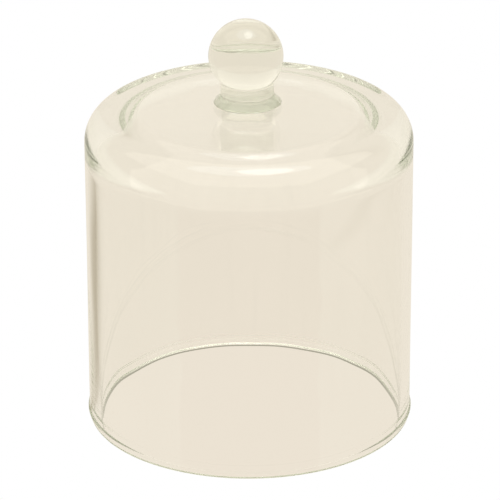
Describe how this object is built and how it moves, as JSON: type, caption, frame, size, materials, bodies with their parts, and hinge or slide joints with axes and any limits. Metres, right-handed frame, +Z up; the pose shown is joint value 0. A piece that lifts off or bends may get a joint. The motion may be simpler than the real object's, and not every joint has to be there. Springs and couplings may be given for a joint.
{
  "type": "bell jar dome",
  "caption": "Clear glass dome with straight walls, a rounded shoulder, a shallow crown, a beaded open rim and a solid ball knob, to stand over a small display.",
  "frame": {"origin": "centre of the rim's flat underside, on the dome's axis", "axes": "+Z up along the dome's axis, towards the knob; the dome is round about Z"},
  "size_m": [0.1058, 0.1058, 0.1351],
  "materials": {
    "glass_shell": "clear blown glass with a warm cast",
    "glass_collar": "clear glass, thicker and slightly greener",
    "glass_knob": "clear solid glass, fire polished"
  },
  "bodies": {
    "root": {"dome_shell": "glass_shell", "knob_collar": "glass_collar", "ball_knob": "glass_knob"}
  },
  "joints": []
}
